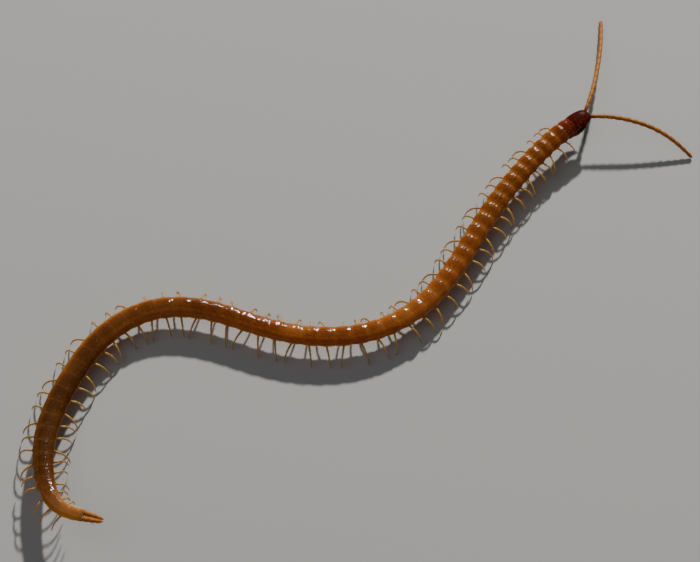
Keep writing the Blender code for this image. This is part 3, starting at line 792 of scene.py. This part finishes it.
def pick_bristles(draw, grid, longest, count, rows, columns, lean, length):
    """Bases, directions, lengths and bends of bristles drawn at random on tubes of points: each
    leans from straight out of the surface towards the end of its tube."""
    tubes = as_tubes(grid)
    tube = draw.integers(0, len(tubes), count)
    row = np.array(rows)[draw.integers(0, len(rows), count)]
    column = np.array(columns)[draw.integers(0, len(columns), count)]
    base = tubes[tube, row, column]
    middle = tubes.mean(axis=2)
    outward = unit(base - middle[tube, row])
    onward = unit(middle[tube, np.minimum(row + 1, tubes.shape[1] - 1)] - middle[tube, row - 1])
    direction = unit(outward + onward * lean + draw.normal(0.0, 0.12, (count, 3)))
    lengths = longest * length * draw.uniform(0.6, 1.25, count)
    return base - outward * BRISTLE_SINK, direction, lengths, onward * BRISTLE_BEND


class Socket:
    """A shader socket in ordinary arithmetic: each operation on it adds a Math node."""

    def __init__(self, finish, link):
        self.finish = finish
        self.link = link

    def __add__(self, other):
        return self.finish.math("ADD", self, other)

    def __sub__(self, other):
        return self.finish.math("SUBTRACT", self, other)

    def __rsub__(self, other):
        return self.finish.math("SUBTRACT", other, self)

    def __mul__(self, other):
        return self.finish.math("MULTIPLY", self, other)

    __radd__ = __add__
    __rmul__ = __mul__


class Finish:
    """A material under construction: a glossy layer, and a dull one over it where mute is used."""

    def __init__(self, name, subsurface=0.0, specular=0.5, spread=THIN_PART_SPREAD):
        self.material = bpy.data.materials.new(name)
        self.material.use_nodes = True
        self.tree = self.material.node_tree
        self.shader = self.tree.nodes["Principled BSDF"]
        self.spread = {"Subsurface Radius": spread[0], "Subsurface Scale": spread[1]}
        sockets = {"Subsurface Weight": subsurface, "Specular IOR Level": specular}
        self.feed(self.shader, {**sockets, **self.spread})

    def feed(self, node, sockets):
        """Link values to a node's sockets, or set them there."""
        for label, value in sockets.items():
            socket = node.inputs[label]
            if isinstance(value, Socket):
                self.tree.links.new(value.link, socket)
            elif isinstance(value, (int, float)):
                socket.default_value = value
            else:
                missing = len(socket.default_value) - len(value)
                socket.default_value = tuple(value) + (1.0,) * missing

    def node(self, kind, settings, sockets, output=0):
        """Any node: its settings first, then the values or links of its sockets."""
        node = self.tree.nodes.new(kind)
        for label, value in settings.items():
            setattr(node, label, value)
        self.feed(node, sockets)
        return Socket(self, node.outputs[output])

    def math(self, operation, *values):
        return self.node("ShaderNodeMath", {"operation": operation}, dict(enumerate(values)))

    def attributes(self, *names):
        return [self.node("ShaderNodeAttribute", {"attribute_name": name}, {}, "Fac") for name in names]

    def place(self):
        return self.node("ShaderNodeTexCoord", {}, {}, "Object")

    def noise(self, scale, detail=3.0):
        """Noise on Object coordinates, with a scale in features a metre."""
        sockets = {"Vector": self.place(), "Scale": scale, "Detail": detail}
        return self.node("ShaderNodeTexNoise", {}, sockets)

    def step(self, value, low, high):
        """0 where a value is below low, 1 above high, smooth between them."""
        settings = {"interpolation_type": "SMOOTHSTEP", "clamp": True}
        sockets = {"Value": value, "From Min": low, "From Max": high}
        return self.node("ShaderNodeMapRange", settings, sockets)

    def lay(self, colour, *layers):
        """Further colours over the first one, each by its own mask."""
        settings = {"data_type": "RGBA", "clamp_factor": True}
        for mask, over in layers:
            colour = self.node("ShaderNodeMix", settings, {0: mask, 6: colour, 7: over}, 2)
        return colour

    def shade(self, colour, amount):
        """A colour made darker or lighter by a factor that varies over the surface."""
        return self.node("ShaderNodeVectorMath", {"operation": "SCALE"}, {0: colour, "Scale": amount})

    def bump(self, height, distance, strength=1.0, **below):
        """Relief from a height, over another relief where one is given as Normal."""
        sockets = {"Height": height, "Distance": distance, "Strength": strength, **below}
        return self.node("ShaderNodeBump", {}, sockets)

    def mute(self, mask, colour, normal, subsurface):
        """A dull layer of the same colour and relief, laid over the glossy one by a mask."""
        sockets = {
            "Base Color": colour, "Normal": normal, "Roughness": DULL_ROUGHNESS,
            "Specular IOR Level": DULL_SPECULAR, "Subsurface Weight": subsurface, **self.spread,
        }
        dull = self.node("ShaderNodeBsdfPrincipled", {}, sockets)
        glossy = Socket(self, self.shader.outputs["BSDF"])
        mixed = self.node("ShaderNodeMixShader", {}, {0: mask, 1: glossy, 2: dull})
        self.feed(self.tree.nodes["Material Output"], {"Surface": mixed})

    def close(self, colour, **sockets):
        """The finished material, with its colour and further sockets by name."""
        self.feed(self.shader, {"Base Color": colour, **sockets})
        return self.material


def trunk_finish(colours):
    """Glossy amber cuticle: it runs from red-brown behind the head to a clear orange at the
    tail, with a dark band along the back, redder flanks brightened by painted light, edges made
    lighter by painted light, and dark grooves, partly painted shade."""
    finish = Finish("amber_cuticle", 0.9, 0.27, TRUNK_SPREAD)
    station, lateral, rise, groove, joint = finish.attributes(
        "station", "lateral", "rise", "groove", "joint"
    )

    def past(stretch):
        return finish.step(station, *STRETCHES[stretch])

    mottle = finish.noise(2600.0, 4.0)
    rear = past("dark rear") * (1.0 - past("clear tail"))
    # Painted light: a lighter left edge on the side towards the key light, and a lighter right edge where
    # shade falls
    painted_light_left_edge = rear * finish.step(lateral, 0.25, 0.85) * (1.0 - past("plain left") * 0.65)
    painted_light_right_edge = past("light right") * (1.0 - past("plain right"))
    painted_light_right_edge = painted_light_right_edge * (1.0 - finish.step(lateral, -0.90, -0.20))
    band = finish.step(1.0 - finish.math("ABSOLUTE", lateral), 0.35, 0.95)
    band = band * finish.step(rise, 0.2, 0.8) * (past("strong band") * 0.20 + 0.22)
    patch = finish.step(finish.noise(420.0, 1.0), 0.50, 0.68) * finish.step(rise, -0.1, 0.5)
    colour = finish.lay(
        colours.front,
        (past("middle"), colours.middle),
        (past("tail end"), colours.rear),
        (rear * (past("darkest") * 0.23 + 0.72), colours.band),
        # Painted light on the left and right edges
        (painted_light_left_edge * 0.38, colours.pale_amber_and_painted_light),
        (painted_light_right_edge * 0.40, colours.pale_amber_and_painted_light),
        (band * (mottle * 0.8 + 0.6), colours.band),
        (joint * (1.0 - past("strong band") * 0.85) * 0.65, colours.pale_amber_and_painted_light),
        (patch * past("patches") * (0.35 - rear * 0.22), colours.pale_amber_and_painted_light),
        # Painted light: the brighter belly colour lightens the shaded lower flanks
        (0.85 - finish.step(rise, -0.50, 0.25) * 0.85, colours.belly),
        (1.0 - past("amber"), colours.claw),
    )
    flank = 1.0 - finish.step(rise, -0.15, 0.35)
    # Darker in the grooves, folds and breathing holes: partly darker seams, partly painted shade in the
    # hollows
    colour = finish.shade(colour, 1.0 - groove * (flank * 0.38 + 0.12))
    colour = finish.shade(colour, mottle * 0.36 + finish.noise(7000.0, 2.0) * 0.22 + 0.72)
    # Relief finer than the mesh, and gloss on the back except in front and behind
    front = 1.0 - past("smooth")
    dull_rear = past("dull rear") * (1.0 - past("shine") * (1.0 - past("shine end")))
    crosswise = finish.math("SINE", lateral * 15.0 + finish.noise(1500.0, 1.0) * 3.0)
    wrinkles = finish.noise(5800.0, 1.0) * (1.2 - front * 0.9 - dull_rear * 0.5)
    normal = finish.bump(finish.noise(26000.0), GRAIN_DEPTH, 0.5)
    normal = finish.bump(wrinkles, WRINKLE_DEPTH, Normal=normal)
    normal = finish.bump(crosswise * front, CREASE_DEPTH, Normal=normal)
    dull_back = dull_rear * 0.94 + front * 0.55
    finish.mute(flank * 0.96 + dull_back * (1.0 - flank), colour, normal, 0.9)
    return finish.close(colour, Roughness=mottle * 0.10 + 0.055, Normal=normal)


def head_finish(colours):
    """Dark red shield with fine pits, lighter and glossier towards its rear edge."""
    finish = Finish("head_shield", specular=0.06)
    along, groove = finish.attributes("along", "groove")
    mottle = finish.noise(4200.0)
    colour = finish.lay(colours.head, (finish.step(along, 0.72, 1.0) * 0.55, colours.claw))
    # Darker in the furrows and at the rear seam: painted shade in the furrows, partly a darker seam line
    colour = finish.shade(colour, (mottle * 0.7 + 0.65) * (1.0 - groove * 0.35))
    cells = finish.node("ShaderNodeTexVoronoi", {}, {"Vector": finish.place(), "Scale": 14000.0})
    normal = finish.bump(finish.step(cells, 0.08, 0.3), PIT_DEPTH, 0.5)
    finish.mute(0.93 - finish.step(along, 0.62, 0.80) * 0.93, colour, normal, 0.0)
    return finish.close(colour, Roughness=mottle * 0.15 + 0.12, Normal=normal)


def claw_finish(colours):
    """Poison claws: red-brown, darkening to an almost black point."""
    finish = Finish("claw_cuticle", 0.05, 0.2)
    along, = finish.attributes("along")
    mottle = finish.noise(5200.0)
    colour = finish.lay(
        colours.claw, (finish.step(along, 0.05, 0.45), colours.head),
        (finish.step(along, 0.78, 0.96), CLAW_POINT_COLOUR),
    )
    colour = finish.shade(colour, mottle * 0.6 + 0.7)
    normal = finish.bump(finish.noise(22000.0, 2.0), GRAIN_DEPTH, 0.5)
    return finish.close(colour, Roughness=mottle * 0.15 + 0.24, Normal=normal)


def antenna_finish(colours):
    """Feelers: dark red at the base, clear amber beyond, with darker joints."""
    finish = Finish("antenna_cuticle", 0.12, 0.2)
    along, groove = finish.attributes("along", "groove")
    mottle = finish.noise(9000.0)
    colour = finish.lay(
        ANTENNA_RED, (finish.step(along, 0.0, 0.09), colours.antenna),
        (finish.step(along, 0.90, 0.99) * 0.35, ANTENNA_RED),
    )
    colour = finish.shade(colour, (mottle * 0.5 + 0.75) * (1.0 - groove * 0.35))
    normal = finish.bump(finish.noise(30000.0, 2.0), PIT_DEPTH, 0.6)
    return finish.close(colour, Roughness=mottle * 0.25 + 0.30, Normal=normal)


def leg_finish(colours):
    """Legs: clear pale amber, a little different on each leg, with a dark claw. The last pair,
    whose tone is over 1, is as orange as the tail and less glossy."""
    finish = Finish("leg_cuticle", 0.2, 0.25)
    along, groove, tone = finish.attributes("along", "groove", "tone")
    mottle = finish.noise(8000.0)
    last = finish.step(tone, 1.2, 1.6)
    colour = finish.lay(
        colours.middle, (finish.step(along, 0.05, 0.30), colours.leg),
        (finish.step(along, 0.93, 0.985), LEG_POINT_COLOUR), (last, colours.pale_amber_and_painted_light),
    )
    brightness = mottle * 0.3 + (tone - last * 1.6) * 0.22 + 0.74
    colour = finish.shade(colour, brightness * (1.0 - groove * 0.30))
    normal = finish.bump(finish.noise(30000.0, 2.0), GRAIN_DEPTH, 0.5)
    finish.mute(last * 0.9, colour, normal, 0.6)
    return finish.close(colour, Roughness=mottle * 0.2 + 0.25, Normal=normal)


def bristle_finish(colours):
    """Bristles: clear horn, darker at the foot."""
    finish = Finish("bristle_horn")
    along, = finish.attributes("along")
    colour = finish.lay(colours.antenna, (finish.step(along, 0.0, 0.6), colours.bristle))
    return finish.close(colour, Roughness=0.35)


def add_lamp(name, direction, distance, diameter, power, colour):
    """A round lamp, at a distance in a direction from the middle of the floor, shining back."""
    light = bpy.data.lights.new(name, "AREA")
    light.shape = "DISK"
    light.size = diameter
    light.energy = power
    light.color = colour
    lamp = bpy.data.objects.new(name, light)
    heading = unit(np.array(direction))
    across = unit(np.cross([0.0, 0.0, 1.0], heading))
    turn = Matrix(np.stack([across, np.cross(heading, across), heading], axis=1).tolist())
    place = (heading * distance).tolist()
    lamp.matrix_world = Matrix.LocRotScale(place, turn.to_quaternion(), None)
    bpy.context.scene.collection.objects.link(lamp)
    return lamp


class CENTIPEDE_OT_trunk(bpy.types.Operator):
    """Make the one skin of the trunk, from the neck to the end of the tail"""

    bl_idname = "centipede.trunk"
    bl_label = "Trunk skin"

    def execute(self, context):
        form = trunk_grid(millimetres(context)["groove_depth"])
        material = trunk_finish(context.scene.centipede_colours)
        add_piece("trunk_skin", form, [*TRUNK_NODES, "last_segment"], material)
        return {"FINISHED"}


class CENTIPEDE_OT_head(bpy.types.Operator):
    """Make the head shield"""

    bl_idname = "centipede.head"
    bl_label = "Head"

    def execute(self, context):
        material = head_finish(context.scene.centipede_colours)
        add_piece("head_capsule", head_grid(), ["head"], material)
        return {"FINISHED"}


class CENTIPEDE_OT_claws(bpy.types.Operator):
    """Make the pair of poison claws under the head, and the mouthparts between them"""

    bl_idname = "centipede.claws"
    bl_label = "Poison claws"

    def execute(self, context):
        material = claw_finish(context.scene.centipede_colours)
        nodes = ["forcipule_left", "forcipule_right"]
        add_piece("poison_claws", claw_grid(CLAW_PATH), nodes, material)
        add_piece("mouthparts", claw_grid(MOUTHPART_PATH), [], material)
        return {"FINISHED"}


class CENTIPEDE_OT_antennae(bpy.types.Operator):
    """Make the pair of beaded feelers"""

    bl_idname = "centipede.antennae"
    bl_label = "Feelers"

    def execute(self, context):
        thickness = millimetres(context)["antenna_thickness"]
        material = antenna_finish(context.scene.centipede_colours)
        for side, name in SIDE_NAMES.items():
            form = antenna_grid(side, thickness)
            add_piece("feeler_" + name, form, ["antenna_" + name], material)
        return {"FINISHED"}


class CENTIPEDE_OT_legs(bpy.types.Operator):
    """Make the walking legs and the last pair of legs"""

    bl_idname = "centipede.legs"
    bl_label = "Legs"

    def execute(self, context):
        sizes = millimetres(context)
        material = leg_finish(context.scene.centipede_colours)
        form = leg_grid(sizes["leg_thickness"])
        add_piece("walking_legs", form, TRUNK_NODES, material)
        form = last_leg_grid(sizes["last_leg_thickness"])
        add_piece("last_legs", form, ["last_leg_left", "last_leg_right"], material)
        return {"FINISHED"}


class CENTIPEDE_OT_bristles(bpy.types.Operator):
    """Make the bristles of legs, feelers, head and trunk"""

    bl_idname = "centipede.bristles"
    bl_label = "Bristles"

    def execute(self, context):
        sizes = millimetres(context)
        pieces = [
            leg_grid(sizes["leg_thickness"]),
            last_leg_grid(sizes["last_leg_thickness"]),
            trunk_grid(sizes["groove_depth"]),
            head_grid(),
            *(antenna_grid(side, sizes["antenna_thickness"]) for side in SIDES),
        ]
        draw = np.random.default_rng(VARIATION_SEED + 2)
        picked = [
            pick_bristles(draw, grid, sizes["bristle_length"], *field)
            for (grid, _), field in zip(pieces, BRISTLE_FIELDS)
        ]
        bases, directions, lengths, bends = (np.concatenate(parts) for parts in zip(*picked))
        form = bristle_grid(bases, directions, lengths, sizes["bristle_thickness"], bends)
        material = bristle_finish(context.scene.centipede_colours)
        add_piece("bristles", form, [], material)
        return {"FINISHED"}


class CENTIPEDE_OT_stage(bpy.types.Operator):
    """Make the pale floor, the soft lights and the camera"""

    bl_idname = "centipede.stage"
    bl_label = "Floor, lights and camera"

    def execute(self, context):
        floor_mesh = bpy.data.meshes.new("floor")
        half = FLOOR_HALF_SIZE
        corners = [(-half, -half, 0.0), (half, -half, 0.0), (half, half, 0.0), (-half, half, 0.0)]
        floor_mesh.from_pydata(corners, [], [(0, 1, 2, 3)])
        floor_mesh.materials.append(Finish("pale_floor").close(FLOOR_COLOUR, Roughness=0.9))
        floor = bpy.data.objects.new("floor", floor_mesh)
        context.scene.collection.objects.link(floor)

        add_lamp("key_light", *KEY_LIGHT)
        add_lamp("soft_light", *SOFT_LIGHT).visible_glossy = False
        world = bpy.data.worlds.new("studio")
        world.use_nodes = True
        background = world.node_tree.nodes["Background"]
        background.inputs["Color"].default_value = SKY_COLOUR
        background.inputs["Strength"].default_value = SKY_STRENGTH
        context.scene.world = world

        lens = bpy.data.cameras.new("camera")
        lens.lens = CAMERA_LENS
        lens.sensor_width = SENSOR_WIDTH
        lens.sensor_fit = "HORIZONTAL"
        lens.clip_start = 0.001
        lens.clip_end = 10.0
        camera = bpy.data.objects.new("camera", lens)
        place = np.array(VIEW_POINT) + np.array(CAMERA_OFFSET)
        tilt = Matrix.Rotation(math.radians(CAMERA_TILT), 4, "X")
        roll = Matrix.Rotation(math.radians(CAMERA_ROLL), 4, "Z")
        camera.matrix_world = Matrix.Translation(place.tolist()) @ tilt @ roll
        context.scene.collection.objects.link(camera)
        context.scene.camera = camera
        return {"FINISHED"}


OPERATORS = (
    CENTIPEDE_OT_trunk, CENTIPEDE_OT_head, CENTIPEDE_OT_claws, CENTIPEDE_OT_antennae,
    CENTIPEDE_OT_legs, CENTIPEDE_OT_bristles, CENTIPEDE_OT_stage,
)


class CENTIPEDE_PT_panel(bpy.types.Panel):
    """Sizes, colours and pieces of the centipede"""

    bl_idname = "CENTIPEDE_PT_panel"
    bl_label = "Yellow earth centipede"
    bl_space_type = "VIEW_3D"
    bl_region_type = "UI"
    bl_category = "Centipede"

    def draw(self, context):
        for settings in (context.scene.centipede_shape, context.scene.centipede_colours):
            for name in settings.__annotations__:
                self.layout.prop(settings, name)
        for operator in OPERATORS:
            self.layout.operator(operator.bl_idname)


CLASSES = (CentipedeShape, CentipedeColours, *OPERATORS, CENTIPEDE_PT_panel)


def register():
    for kind in CLASSES:
        bpy.utils.register_class(kind)
    bpy.types.Scene.centipede_shape = bpy.props.PointerProperty(type=CentipedeShape)
    bpy.types.Scene.centipede_colours = bpy.props.PointerProperty(type=CentipedeColours)


def unregister():
    del bpy.types.Scene.centipede_colours
    del bpy.types.Scene.centipede_shape
    for kind in reversed(CLASSES):
        bpy.utils.unregister_class(kind)


def main():
    register()
    bpy.ops.centipede.trunk()
    bpy.ops.centipede.head()
    bpy.ops.centipede.claws()
    bpy.ops.centipede.antennae()
    bpy.ops.centipede.legs()
    bpy.ops.centipede.bristles()
    bpy.ops.centipede.stage()


if __name__ == "__main__":
    main()
